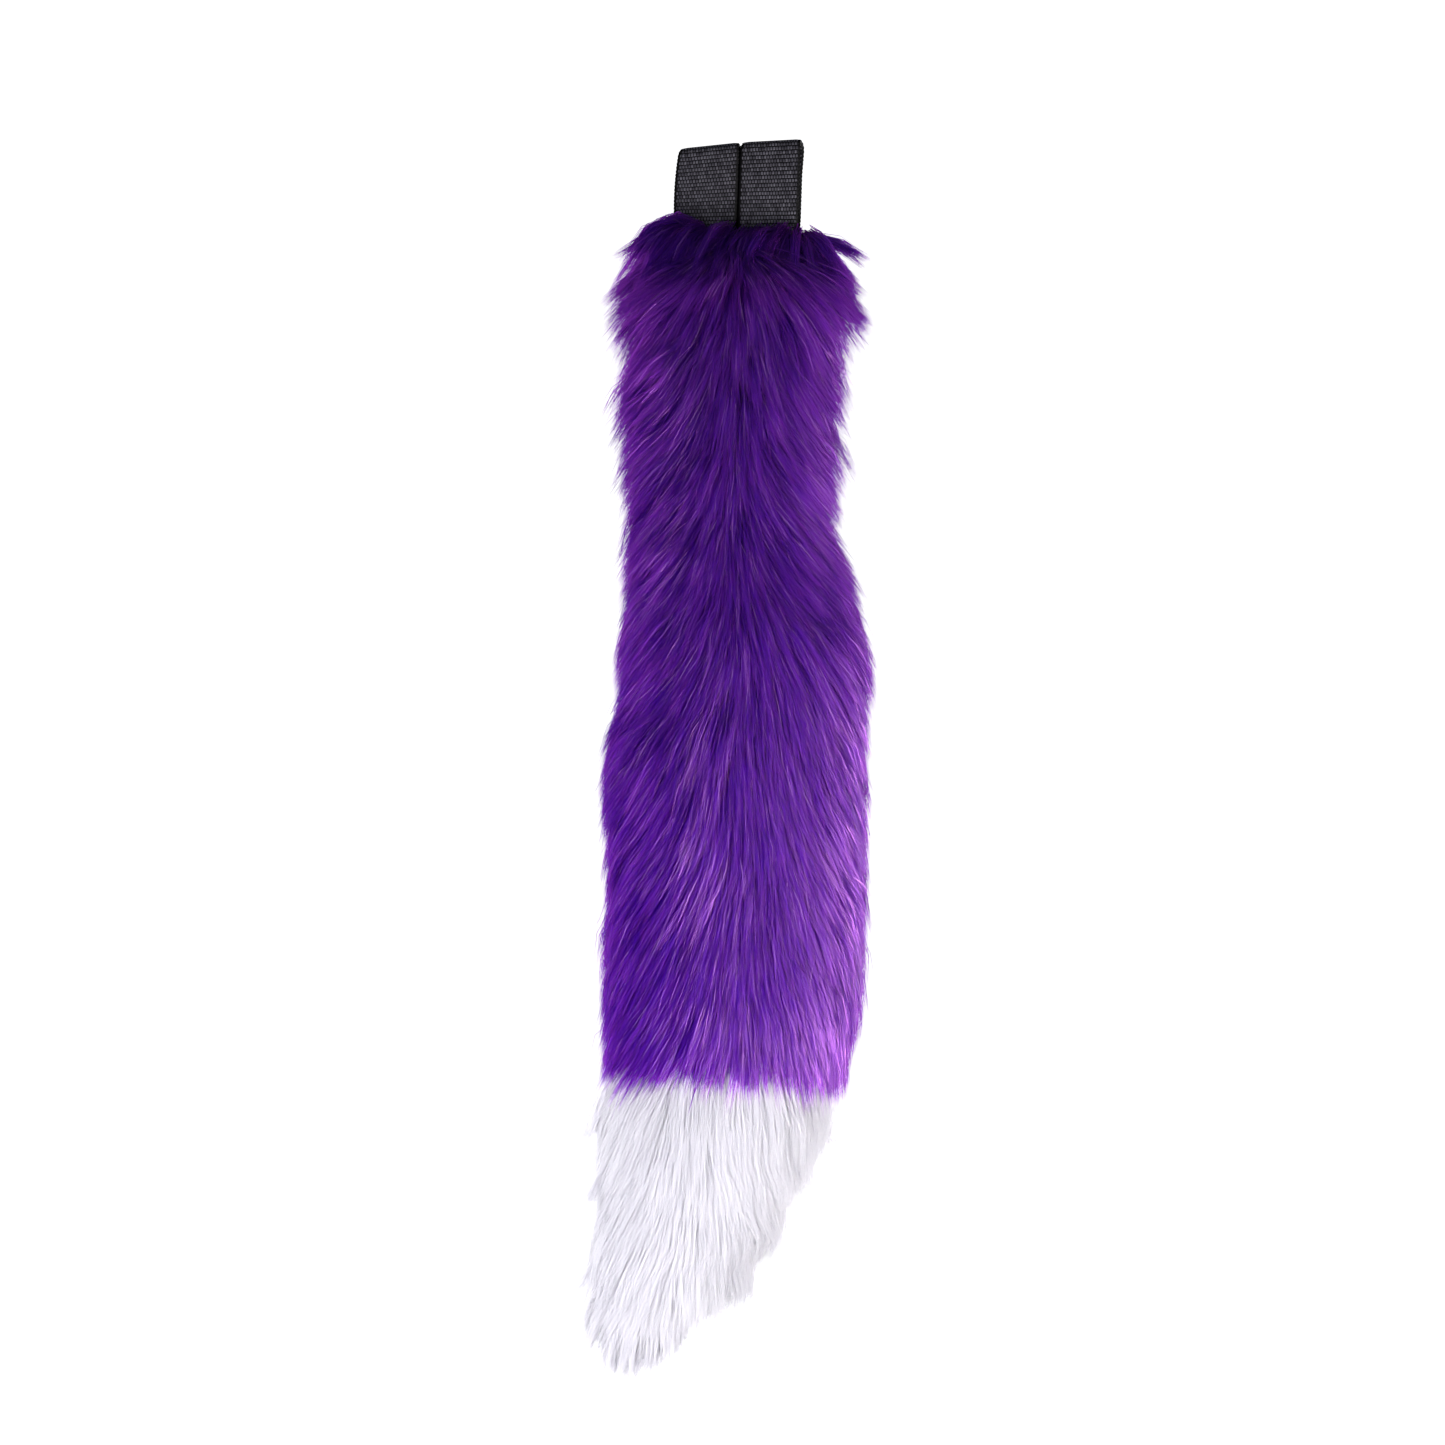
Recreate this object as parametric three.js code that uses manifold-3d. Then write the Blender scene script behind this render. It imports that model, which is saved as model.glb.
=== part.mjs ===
// A costume tail as it hangs from a belt: a stuffed tube of long purple pile, a white pile tip sewn to its end,
// and two loops of black webbing sewn into its top. Millimetres, Z up, X to the right and Y towards the wearer.
// The origin is on the belt line: the inside top of the loops' folds, midway between the two loops.
import * as THREE from "three";
import { mergeVertices } from "three/addons/utils/BufferGeometryUtils.js";
import Module from "manifold-3d";

const wasm = await Module();
wasm.setup();

// Webbing loops
const webbingWidth = 25.4;
const webbingThickness = 1.6;
const loopSpace = 6; // clear width inside a loop, front to back
const loopGap = 0.6; // between the two loops
const straightDrop = 30; // belt line to where a loop's two layers start to close
const seamDrop = 42; // belt line to where the two layers meet
const tabLength = 10; // webbing held below that, inside the cloth
const foldSteps = 10; // flats round a fold

// Fur
const furDrop = 33; // belt line to the first hair
const topHair = 8; // hair that stands above the closed end of the purple cloth
const purpleCloth = 337;
const whiteCloth = 119;
const tipHair = 17; // hair below the end of the white cloth
const furWidth = 112.6; // across the hair tips at the widest place
const coat = 9; // how far the hair tips stand off the cloth at the sides
const topRound = 15; // length over which the purple cloth closes at the top
const tipRound = 24; // length over which the white cloth closes at the tip
const overhang = 20; // how far purple hair hangs over the white cloth
const clearance = 0.3;
const clothSides = 26;
const ringStep = 13;
const endRings = [0.004, 0.012, 0.025, 0.045]; // shares of a tube's length where its rings crowd at the ends

const furLength = topHair + purpleCloth + whiteCloth + tipHair;
const seamAt = topHair + purpleCloth;
const clothEnd = seamAt + whiteCloth;

// The outline: down is a share of furLength, shift and reach are shares of half of furWidth,
// and depth is the front-to-back reach as a share of the sideways reach.
const outline = [
  { down: 0.0, shift: -0.04, reach: 0.68, depth: 0.5 },
  { down: 0.056, shift: -0.03, reach: 0.9, depth: 0.74 },
  { down: 0.11, shift: -0.04, reach: 0.91, depth: 0.82 },
  { down: 0.162, shift: -0.08, reach: 0.885, depth: 0.84 },
  { down: 0.231, shift: -0.1, reach: 0.82, depth: 0.86 },
  { down: 0.301, shift: 0.0, reach: 0.875, depth: 0.84 },
  { down: 0.372, shift: 0.04, reach: 0.947, depth: 0.82 },
  { down: 0.476, shift: -0.05, reach: 0.985, depth: 0.8 },
  { down: 0.547, shift: -0.02, reach: 1.0, depth: 0.8 },
  { down: 0.634, shift: -0.06, reach: 1.0, depth: 0.8 },
  { down: 0.686, shift: -0.075, reach: 0.963, depth: 0.82 },
  { down: 0.738, shift: -0.13, reach: 0.917, depth: 0.83 },
  { down: 0.773, shift: -0.2, reach: 0.88, depth: 0.84 },
  { down: 0.825, shift: -0.27, reach: 0.753, depth: 0.88 },
  { down: 0.877, shift: -0.4, reach: 0.66, depth: 0.9 },
  { down: 0.929, shift: -0.58, reach: 0.56, depth: 0.92 },
  { down: 0.965, shift: -0.67, reach: 0.4, depth: 0.95 },
  { down: 1.0, shift: -0.78, reach: 0.26, depth: 1.0 },
];

// The two loops: side of the middle line, tilt of the top edge in degrees, and how far the back layer
// stands out sideways past the front layer, as a share of webbingWidth.
const loops = [
  { name: "belt_loop_left", side: -1, tilt: 6, skew: 0 },
  { name: "belt_loop_right", side: 1, tilt: 3, skew: 0.095 },
];
const loopShift = -0.035 * webbingWidth;

// Locks that stand out of the outline: down is a share of furLength, turn is in degrees round the tail from
// the right-hand side towards the front, length and stand are shares of lockLength and coat, lean turns the lock
// sideways in degrees.
const tufts = [
  { down: 0.019, turn: 174, length: 0.9, stand: 1.2, lean: 8 },
  { down: 0.026, turn: 160, length: 0.9, stand: 1.3, lean: 20 },
  { down: 0.021, turn: 8, length: 0.85, stand: 1.2, lean: -10 },
  { down: 0.028, turn: 24, length: 0.9, stand: 1.2, lean: -20 },
  { down: 0.425, turn: 179, length: 1.0, stand: 1.25, lean: 4 },
  { down: 0.6, turn: 178, length: 1.0, stand: 1.15, lean: 4 },
  { down: 0.64, turn: 2, length: 1.0, stand: 1.1, lean: 0 },
];
const whiteTufts = [
  { down: 0.752, turn: 178, length: 0.9, stand: 1.2, lean: 4 },
  { down: 0.76, turn: 2, length: 0.9, stand: 1.1, lean: 0 },
  { down: 0.87, turn: 180, length: 0.9, stand: 1.15, lean: 4 },
];
const lockLength = 34;
const lockWidth = 15;
const lockDepth = 8;
const rootSink = 3; // how far a lock's root is sunk in the cloth
const lockSides = 3;
const purpleLocks = 112;
const whiteLocks = 38;
const crownLocks = 13; // in a ring round the loops
const shoulderLocks = 17; // in the ring below it
const hemLocks = 24; // in the ring that hangs over the seam
const goldenTurn = Math.PI * (3 - Math.sqrt(5));

// Materials
const purplePile = new THREE.MeshStandardMaterial({ color: 0x4a1a82, roughness: 0.75, metalness: 0 });
const whitePile = new THREE.MeshStandardMaterial({ color: 0xe9e6f2, roughness: 0.8, metalness: 0 });
const blackWebbing = new THREE.MeshStandardMaterial({ color: 0x2e2d35, roughness: 0.7, metalness: 0 });

// A closed geometry with its shared vertices merged and its faces without area dropped, ready to be moved about.
function welded(geometry) {
  geometry.deleteAttribute("normal");
  geometry.deleteAttribute("uv");
  const merged = mergeVertices(geometry);
  const corners = merged.index.array;
  const faces = [];
  for (let i = 0; i < corners.length; i += 3) {
    const [a, b, c] = [corners[i], corners[i + 1], corners[i + 2]];
    if (a !== b && b !== c && c !== a) faces.push(a, b, c);
  }
  merged.setIndex(faces);
  return merged;
}

function solidOf(geometry) {
  return new wasm.Manifold(new wasm.Mesh({
    numProp: 3,
    vertProperties: new Float32Array(geometry.getAttribute("position").array),
    triVerts: new Uint32Array(geometry.index.array),
  }));
}

// Locks joined to their cloth as one solid body. Crossing locks can shut in small pockets, which are filled.
function fused(cloth, locks) {
  const pieces = wasm.Manifold.union([cloth, ...locks]).decompose();
  return pieces.reduce((most, piece) => (piece.volume() > most.volume() ? piece : most));
}

function meshOf(name, solid, material) {
  const { vertProperties, triVerts } = solid.getMesh();
  const geometry = new THREE.BufferGeometry();
  geometry.setAttribute("position", new THREE.BufferAttribute(vertProperties, 3));
  geometry.setIndex(new THREE.BufferAttribute(triVerts, 1));
  geometry.computeVertexNormals();
  const mesh = new THREE.Mesh(geometry, material);
  mesh.name = name;
  return mesh;
}

// Moves every vertex of a geometry by a function of its place.
function moveVertices(geometry, move) {
  const places = geometry.getAttribute("position");
  const place = new THREE.Vector3();
  for (let i = 0; i < places.count; i += 1) {
    move(place.fromBufferAttribute(places, i));
    places.setXYZ(i, place.x, place.y, place.z);
  }
}

// The outline at a distance below the first hair: the middle line's shift and the hair's reach sideways and forwards.
function outlineAt(down) {
  const share = THREE.MathUtils.clamp(down / furLength, 0, 1);
  const next = Math.max(1, outline.findIndex((row) => row.down >= share));
  const [above, below] = [outline[next - 1], outline[next]];
  const blend = THREE.MathUtils.smoothstep(share, above.down, below.down);
  const mix = (column) => THREE.MathUtils.lerp(above[column], below[column], blend);
  const reach = mix("reach") * furWidth / 2;
  return { shift: mix("shift") * furWidth / 2, sideways: reach, forwards: reach * mix("depth") };
}

// How far a rounded end has opened at a distance from it, from 0 to 1.
function opened(distance, length) {
  const left = 1 - Math.min(distance / length, 1);
  return Math.sqrt(1 - left * left);
}

// A point on the cloth. Turn runs from the right-hand side towards the front.
function onCloth(down, turn) {
  const { shift, sideways, forwards } = outlineAt(down);
  const open = opened(Math.max(down - topHair, 0), topRound) * opened(Math.max(clothEnd - down, 0), tipRound);
  return new THREE.Vector3(
    shift + open * (sideways - coat) * Math.cos(turn),
    -open * (forwards - coat) * Math.sin(turn),
    -furDrop - down,
  );
}

// A length of the stuffed tube between two distances below the first hair.
function clothTube(from, to) {
  const steps = Math.round((to - from) / ringStep);
  const even = Array.from({ length: steps - 1 }, (_, i) => (i + 1) / steps);
  const shares = [...endRings, ...even, ...endRings.map((share) => 1 - share)].sort((a, b) => a - b);
  const downs = [from, ...shares.map((share) => THREE.MathUtils.lerp(from, to, share)), to];
  const rings = downs.filter((down) => down !== topHair && down !== clothEnd);
  const profile = [
    new THREE.Vector2(0, -to),
    ...rings.reverse().map((down) => new THREE.Vector2(1, -down)),
    new THREE.Vector2(0, -from),
  ];
  const tube = welded(new THREE.LatheGeometry(profile, clothSides));
  tube.rotateX(Math.PI / 2);
  moveVertices(tube, (place) => {
    const radius = Math.hypot(place.x, place.y);
    const onSurface = onCloth(-place.z, Math.atan2(-place.y, place.x));
    const middle = outlineAt(-place.z).shift;
    place.set(middle + (onSurface.x - middle) * radius, onSurface.y * radius, onSurface.z);
  });
  return solidOf(tube);
}

// One lock of hair: a tapered cone with its root in the cloth, bent to lie along it and end off it by its stand.
function lock({ down, turn, length, stand, lean }, grow = 0) {
  const root = onCloth(down, turn);
  const nudge = 0.05;
  const below = onCloth(down + length * 0.6, turn).sub(root).normalize();
  const around = onCloth(down, turn + nudge).sub(onCloth(down, turn - nudge)).normalize();
  const out = new THREE.Vector3().crossVectors(around, below).normalize();
  const along = below.clone().applyAxisAngle(out, lean).normalize();
  const across = new THREE.Vector3().crossVectors(along, out);
  const cone = welded(new THREE.ConeGeometry(1, 1, lockSides, 2));
  moveVertices(cone, (place) => {
    const share = place.y + 0.5;
    const bend = 1 - (1 - share) ** 2;
    const full = share > 0.4 && share < 0.6 ? 1.5 : 1;
    const sideways = place.x * full * (lockWidth / 2 + grow);
    const outwards = place.z * full * (lockDepth / 2 + grow) - rootSink + bend * (rootSink + stand);
    const forwards = share * (length + grow) * Math.sqrt(1 - Math.min(stand / length, 0.8) ** 2);
    place.copy(root).addScaledVector(across, sideways).addScaledVector(out, outwards)
      .addScaledVector(along, forwards);
  });
  return solidOf(cone);
}

// A steady, repeatable number from -1 to 1 for the given count.
function jitter(count) {
  return Math.sin(count * 12.9898 + 4.1) * Math.cos(count * 3.77);
}

// Locks spread evenly over a length of cloth. They part along the front and back middle lines, and the ones near
// the top are the shaggiest.
function spreadLocks(count, from, to) {
  return Array.from({ length: count }, (_, i) => {
    const down = THREE.MathUtils.lerp(from, to, (i + 0.5) / count);
    const turn = i * goldenTurn;
    const shaggy = 1 - THREE.MathUtils.smoothstep(down / furLength, 0.1, 0.42);
    const parting = Math.cos(turn) * Math.abs(Math.sin(turn)) * Math.sign(Math.sin(turn));
    return {
      down,
      turn,
      length: lockLength * (1 + 0.12 * jitter(i)),
      stand: coat * (0.94 + 0.16 * shaggy + 0.12 * jitter(i + 0.5)),
      lean: parting * (0.45 + 0.25 * shaggy) + 0.08 * jitter(i + 0.25),
    };
  });
}

// Locks in an even ring round the cloth.
function ringLocks(count, down, length, stand) {
  return Array.from({ length: count }, (_, i) => ({
    down: down + 0.02 * lockLength * jitter(i),
    turn: (i + 0.5) * 2 * Math.PI / count,
    length: length * (1 + 0.1 * jitter(i + 0.5)),
    stand: stand * (1 + 0.1 * jitter(i + 0.25)),
    lean: 0.12 * jitter(i),
  }));
}

function tuftLocks(rows) {
  return rows.map(({ down, turn, length, stand, lean }) => ({
    down: down * furLength,
    turn: THREE.MathUtils.degToRad(turn),
    length: length * lockLength,
    stand: stand * coat,
    lean: THREE.MathUtils.degToRad(lean),
  }));
}

// The side view of a folded loop, grown all round by a margin: a half-round fold, two straight layers that close
// at the seam, and the tab below.
function loopOutline(inside, margin) {
  const half = loopSpace / 2 + (inside ? 0 : webbingThickness) + margin;
  const foldCentre = -loopSpace / 2;
  const shape = new THREE.Shape();
  shape.absarc(0, foldCentre, half, 0, Math.PI, false);
  shape.lineTo(-half, -straightDrop);
  if (inside) {
    shape.lineTo(0, -seamDrop);
  } else {
    const tab = webbingThickness + margin;
    shape.lineTo(-tab, -seamDrop);
    shape.lineTo(-tab, -seamDrop - tabLength - margin);
    shape.lineTo(tab, -seamDrop - tabLength - margin);
    shape.lineTo(tab, -seamDrop);
  }
  shape.lineTo(half, -straightDrop);
  shape.closePath();
  return shape;
}

// Where a loop starts and how wide it is, front layer, along X.
function loopPlace({ side }) {
  const near = loopShift + side * loopGap / 2;
  return side < 0 ? near - webbingWidth : near;
}

// Stands a side view up as a strip across X.
function strip(shape, from, width) {
  const settings = { depth: width, bevelEnabled: false, curveSegments: foldSteps };
  const geometry = welded(new THREE.ExtrudeGeometry(shape, settings));
  geometry.rotateX(Math.PI / 2);
  geometry.rotateZ(Math.PI / 2);
  geometry.translate(from, 0, 0);
  return geometry;
}

function beltLoop(row) {
  const shape = loopOutline(false, 0);
  shape.holes.push(loopOutline(true, 0));
  const geometry = strip(shape, loopPlace(row), webbingWidth);
  const slope = Math.tan(THREE.MathUtils.degToRad(row.tilt));
  const halfDepth = loopSpace / 2 + webbingThickness;
  moveVertices(geometry, (place) => {
    const free = THREE.MathUtils.clamp((place.z + seamDrop) / seamDrop, 0, 1);
    place.z += slope * (place.x - loopShift) * free;
    place.x += row.skew * webbingWidth * free * (place.y + halfDepth) / (2 * halfDepth);
  });
  return solidOf(geometry);
}

// The room that both loops and a clearance round them need in the fur.
function loopRoom() {
  const lefts = loops.map(loopPlace);
  const rights = loops.map((row) => loopPlace(row) + (1 + row.skew) * webbingWidth);
  const from = Math.min(...lefts) - clearance;
  return solidOf(strip(loopOutline(false, clearance), from, Math.max(...rights) + clearance - from));
}

// The purple locks that hang over the seam.
function hemRing() {
  const rooted = overhang * 0.35;
  return ringLocks(hemLocks, seamAt - rooted, overhang + rooted, coat * 0.95);
}

// All the purple locks: a crown round the loops, its shoulder, the spread, the hem and the tufts.
function purpleHair() {
  const crown = ringLocks(crownLocks, topHair + topRound * 0.04, lockLength * 0.75, coat * 1.1);
  const shoulder = ringLocks(shoulderLocks, topHair + topRound * 0.3, lockLength * 0.85, coat * 1.05);
  const spread = spreadLocks(purpleLocks, topHair + topRound * 0.8, seamAt - overhang);
  return [...crown, ...shoulder, ...spread, ...hemRing(), ...tuftLocks(tufts)];
}

function furBody() {
  const locks = purpleHair().map((row) => lock(row));
  return fused(clothTube(topHair, seamAt), locks).subtract(loopRoom());
}

// The purple locks that hang past the seam, with a clearance round them.
function overhangRoom() {
  const hanging = purpleHair().filter((row) => row.down + row.length > seamAt);
  return wasm.Manifold.union(hanging.map((row) => lock(row, clearance)));
}

function furTip() {
  const spread = spreadLocks(whiteLocks, seamAt + overhang * 0.7, clothEnd - tipHair * 0.5);
  const locks = [...spread, ...tuftLocks(whiteTufts)].map((row) => lock(row));
  return fused(clothTube(seamAt + clearance, clothEnd), locks).subtract(overhangRoom());
}

const group = new THREE.Group();
group.name = "costume_tail";
group.add(meshOf("fur_body", furBody(), purplePile));
group.add(meshOf("fur_tip", furTip(), whitePile));
for (const row of loops) group.add(meshOf(row.name, beltLoop(row), blackWebbing));

export default group;
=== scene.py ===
# A costume tail hanging from its belt loops: a stuffed tube of long purple pile with a white pile tip, and
# two loops of black webbing. Metres, Z up, X to the right and Y away from the display side, as in the frame.
import math

import bmesh
import bpy
import numpy as np
from mathutils import Matrix, Vector, kdtree


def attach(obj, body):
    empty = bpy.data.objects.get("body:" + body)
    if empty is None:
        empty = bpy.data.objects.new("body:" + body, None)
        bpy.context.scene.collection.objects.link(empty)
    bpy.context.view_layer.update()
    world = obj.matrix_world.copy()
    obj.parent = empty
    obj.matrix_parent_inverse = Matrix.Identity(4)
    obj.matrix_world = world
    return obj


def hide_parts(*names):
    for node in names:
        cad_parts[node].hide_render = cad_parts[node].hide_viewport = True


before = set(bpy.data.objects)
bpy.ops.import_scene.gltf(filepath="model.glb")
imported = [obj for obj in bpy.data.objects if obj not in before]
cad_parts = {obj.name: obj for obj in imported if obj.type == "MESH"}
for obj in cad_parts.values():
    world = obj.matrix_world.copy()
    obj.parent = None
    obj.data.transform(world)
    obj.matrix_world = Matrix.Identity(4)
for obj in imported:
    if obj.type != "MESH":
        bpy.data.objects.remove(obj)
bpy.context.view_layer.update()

# The camera stands straight in front of the display side at the height of the tail's middle, with a lens of
# medium length. The tail fills the frame as it does in the photograph, a little right of the middle.
MM = 0.001
PHOTO_PIXELS = 1445
PIXEL = 0.42 * MM
ORIGIN_PIXEL = (740, 146)
SENSOR = 36.0
LENS = 85.0
frame_size = PHOTO_PIXELS * PIXEL
camera_data = bpy.data.cameras.new("camera")
camera_data.lens = LENS
camera_data.sensor_width = SENSOR
camera = bpy.data.objects.new("camera", camera_data)
camera.location = (
    (PHOTO_PIXELS / 2 - ORIGIN_PIXEL[0]) * PIXEL,
    -frame_size * LENS / SENSOR,
    -(PHOTO_PIXELS / 2 - ORIGIN_PIXEL[1]) * PIXEL,
)
camera.rotation_euler = (math.radians(90), 0, 0)
bpy.context.collection.objects.link(camera)
bpy.context.scene.camera = camera

# The belt loops: two lengths of 25.4 mm (1 inch) black nylon webbing, each folded over so that a belt passes
# through, with both ends laid together and sewn into the top of the tube. The weave shows as ribs across it.
WEBBING_WIDTH = 25.4 * MM
WEBBING_THICKNESS = 1.6 * MM
LOOP_SPACE = 6 * MM
LOOP_GAP = 0.3 * MM
LOOP_LEAN = 1.4 * MM
STRAIGHT_DROP = 30 * MM
SEAM_DROP = 42 * MM
TAB_LENGTH = 10 * MM
LOOP_SHIFT = -0.035 * WEBBING_WIDTH
LOOPS = (
    # node, side of the middle line, tilt of the top in degrees, skew of the back layer, bow of the outer edge
    ("belt_loop_left", -1, 6, 0.070, 1.3 * MM),
    ("belt_loop_right", 1, 3, 0.095, 0.0),
)
RIB_PITCH = 1.66 * MM
RIB_HEIGHT = 0.28 * MM
YARN_PITCH = 1.2 * MM
FLOAT_STRETCH = 2.0
FLOAT_MARGIN = 0.5 * MM
SELVEDGE = 1.3 * MM
SELVEDGE_FINISH = 0.4 * SELVEDGE
SELVEDGE_DROP = 0.45
CORNER_ROUND = 0.8 * MM
CORNER_REACH = 3.2 * MM
EDGE_RIPPLE = 0.1 * MM
LEAN_PIVOT = 0.6
LEAST_SKEW = 0.7
PATH_STEP = 0.6 * MM
FOLD_STEPS = 21
STEPS_PER_RIB = 4
STEPS_ACROSS = 24


def webbing_path():
    """Where the middle of the webbing runs, as (forwards, up) points, from one sewn end over to the other."""
    half = (LOOP_SPACE + WEBBING_THICKNESS) / 2
    centre = -LOOP_SPACE / 2
    end = WEBBING_THICKNESS / 2
    front = [(-end, -SEAM_DROP - TAB_LENGTH), (-end, -SEAM_DROP), (-half, -STRAIGHT_DROP), (-half, centre)]
    turns = np.linspace(0, math.pi, FOLD_STEPS)[1:-1]
    fold = [(-half * math.cos(turn), centre + half * math.sin(turn)) for turn in turns]
    back = [(-forwards, up) for forwards, up in reversed(front)]
    return np.array(front + fold + back)


def webbing_places(across, along, path, runs, side, tilt, skew, bow):
    """Points of the ribbed webbing at distances across and along it, with its tilt, skew and bow."""
    forwards = np.interp(along, runs, path[:, 0])
    up = np.interp(along, runs, path[:, 1])
    tangent = np.stack([
        np.interp(along + PATH_STEP, runs, column) - np.interp(along - PATH_STEP, runs, column)
        for column in path.T
    ])
    tangent /= np.linalg.norm(tangent, axis=0)
    edge = np.minimum(across, WEBBING_WIDTH - across)
    body = np.clip((edge - 0.6 * SELVEDGE) / (0.5 * SELVEDGE), 0, 1)
    rib = np.cos(along / RIB_PITCH * math.tau)
    height = RIB_HEIGHT * (0.5 * rib * body - SELVEDGE_DROP * (1 - body))
    forwards = forwards - tangent[1] * height
    up = up + tangent[0] * height
    from_fold = np.abs(along - runs[-1] / 2)
    inset = CORNER_ROUND * np.exp(-(from_fold / CORNER_REACH) ** 2) + EDGE_RIPPLE * (1 - rib)
    centred = across - WEBBING_WIDTH / 2
    start = LOOP_SHIFT + side * LOOP_GAP / 2 - (WEBBING_WIDTH if side < 0 else 0)
    x = start + WEBBING_WIDTH / 2 + centred * (1 - inset * 2 / WEBBING_WIDTH)
    free = np.clip((up + SEAM_DROP) / SEAM_DROP, 0, 1)
    outer = np.clip(side * centred / WEBBING_WIDTH + 0.5, 0, 1)
    x = x + side * bow * outer * np.sin(math.pi * free) ** 0.8
    half_depth = LOOP_SPACE / 2 + WEBBING_THICKNESS
    z = up + math.tan(math.radians(tilt)) * (x - LOOP_SHIFT) * free
    x = x + skew * WEBBING_WIDTH * np.maximum(free, LEAST_SKEW) * (forwards + half_depth) / (2 * half_depth)
    x = x + LOOP_LEAN * (free - LEAN_PIVOT)
    return np.stack([x, forwards, z], axis=1)


def belt_loop(name, side, tilt, skew, bow):
    """The folded webbing as a ribbed ribbon with its thickness."""
    path = webbing_path()
    runs = np.concatenate([[0], np.cumsum(np.linalg.norm(np.diff(path, axis=0), axis=1))])
    length = runs[-1]
    ribs = round(length / RIB_PITCH)
    ribbon = bmesh.new()
    bmesh.ops.create_grid(ribbon, x_segments=STEPS_ACROSS, y_segments=ribs * STEPS_PER_RIB, size=0.5)
    share = np.array([(v.co.x + 0.5, v.co.y + 0.5) for v in ribbon.verts])
    across, along = share[:, 0] * WEBBING_WIDTH, share[:, 1] * length
    places = webbing_places(across, along, path, runs, side, tilt, skew, bow)
    for vert, place in zip(ribbon.verts, places, strict=True):
        vert.co = place
    edge = np.minimum(across, WEBBING_WIDTH - across)
    weave = ribbon.loops.layers.uv.new("weave")
    ribbon.verts.index_update()
    for face in ribbon.faces:
        for corner in face.loops:
            at = corner.vert.index
            corner[weave].uv = (across[at] / MM, along[at] / MM)
        at_selvedge = min(edge[corner.vert.index] for corner in face.loops) < SELVEDGE_FINISH
        face.material_index = int(at_selvedge)
    bmesh.ops.recalc_face_normals(ribbon, faces=ribbon.faces)
    mesh = bpy.data.meshes.new(name)
    ribbon.to_mesh(mesh)
    ribbon.free()
    mesh.shade_smooth()
    loop = bpy.data.objects.new(name, mesh)
    bpy.context.collection.objects.link(loop)
    thick = loop.modifiers.new("thickness", "SOLIDIFY")
    thick.thickness = WEBBING_THICKNESS - RIB_HEIGHT
    thick.offset = 0
    return loop


def linear(colour, alpha=1.0):
    """An sRGB hex colour as linear numbers."""
    parts = [int(colour[i:i + 2], 16) / 255 for i in (1, 3, 5)]
    return [p / 12.92 if p <= 0.04045 else ((p + 0.055) / 1.055) ** 2.4 for p in parts] + [alpha]


def add_node(material, kind, settings=None, inputs=None):
    """Adds one shader node, sets its settings, and sets or links its inputs."""
    node = material.node_tree.nodes.new(kind)
    for name, value in (settings or {}).items():
        setattr(node, name, value)
    for socket, value in (inputs or {}).items():
        if isinstance(value, bpy.types.NodeSocket):
            material.node_tree.links.new(value, node.inputs[socket])
        else:
            node.inputs[socket].default_value = value
    return node


def new_material(name):
    """An empty node material, with its Principled shader."""
    material = bpy.data.materials.new(name)
    material.use_nodes = True
    return material, material.node_tree.nodes["Principled BSDF"]


# Black nylon webbing, woven with floats 1.2 mm apart along each rib and staggered from rib to rib. The
# rounded tops of the floats carry painted highlights, as rows of dashes in two greys; the gaps between them
# keep the nylon's near-black.
def nylon_webbing():
    material, shader = new_material("black_nylon_webbing")
    place = add_node(material, "ShaderNodeMapping", inputs={
        "Vector": add_node(material, "ShaderNodeUVMap", {"uv_map": "weave"}).outputs["UV"],
        "Location": (0, RIB_PITCH / MM / 2, 0),
        "Scale": (FLOAT_STRETCH, 1, 1),
    })
    # Painted highlights: the float tops are coloured grey for the light they catch, and the gaps keep the
    # nylon's own near-black
    floats_with_painted_highlights = add_node(material, "ShaderNodeTexBrick", {"offset": 0.5}, {
        "Vector": place.outputs["Vector"],
        "Color1": linear("#74727c"),
        "Color2": linear("#46444d"),
        "Mortar": linear("#09080b"),
        "Scale": 0.1,
        "Brick Width": YARN_PITCH / MM * FLOAT_STRETCH * 0.1,
        "Row Height": RIB_PITCH / MM * 0.1,
        "Mortar Size": FLOAT_MARGIN / MM * 0.1,
        "Mortar Smooth": 0.6,
    })
    material.node_tree.links.new(floats_with_painted_highlights.outputs["Color"], shader.inputs["Base Color"])
    roughness = add_node(material, "ShaderNodeMapRange", inputs={
        "Value": floats_with_painted_highlights.outputs["Fac"], "To Min": 0.5, "To Max": 0.8,
    })
    material.node_tree.links.new(roughness.outputs["Result"], shader.inputs["Roughness"])
    bump = add_node(material, "ShaderNodeBump", {"invert": True}, {
        "Strength": 0.8, "Distance": 0.2 * MM, "Height": floats_with_painted_highlights.outputs["Fac"],
    })
    material.node_tree.links.new(bump.outputs["Normal"], shader.inputs["Normal"])
    shader.inputs["Specular IOR Level"].default_value = 0.2
    return material


# The selvedge of the webbing: the same black nylon in a tight plain weave without floats.
def nylon_selvedge():
    material, shader = new_material("black_nylon_selvedge")
    shader.inputs["Base Color"].default_value = linear("#0d0c10")
    shader.inputs["Roughness"].default_value = 0.7
    shader.inputs["Specular IOR Level"].default_value = 0.25
    return material


webbing_materials = nylon_webbing(), nylon_selvedge()
for node, side, tilt, skew, bow in LOOPS:
    loop = belt_loop(node.replace("belt", "webbing"), side, tilt, skew, bow)
    for material in webbing_materials:
        loop.data.materials.append(material)
    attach(loop, "root")
    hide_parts(node)

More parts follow.
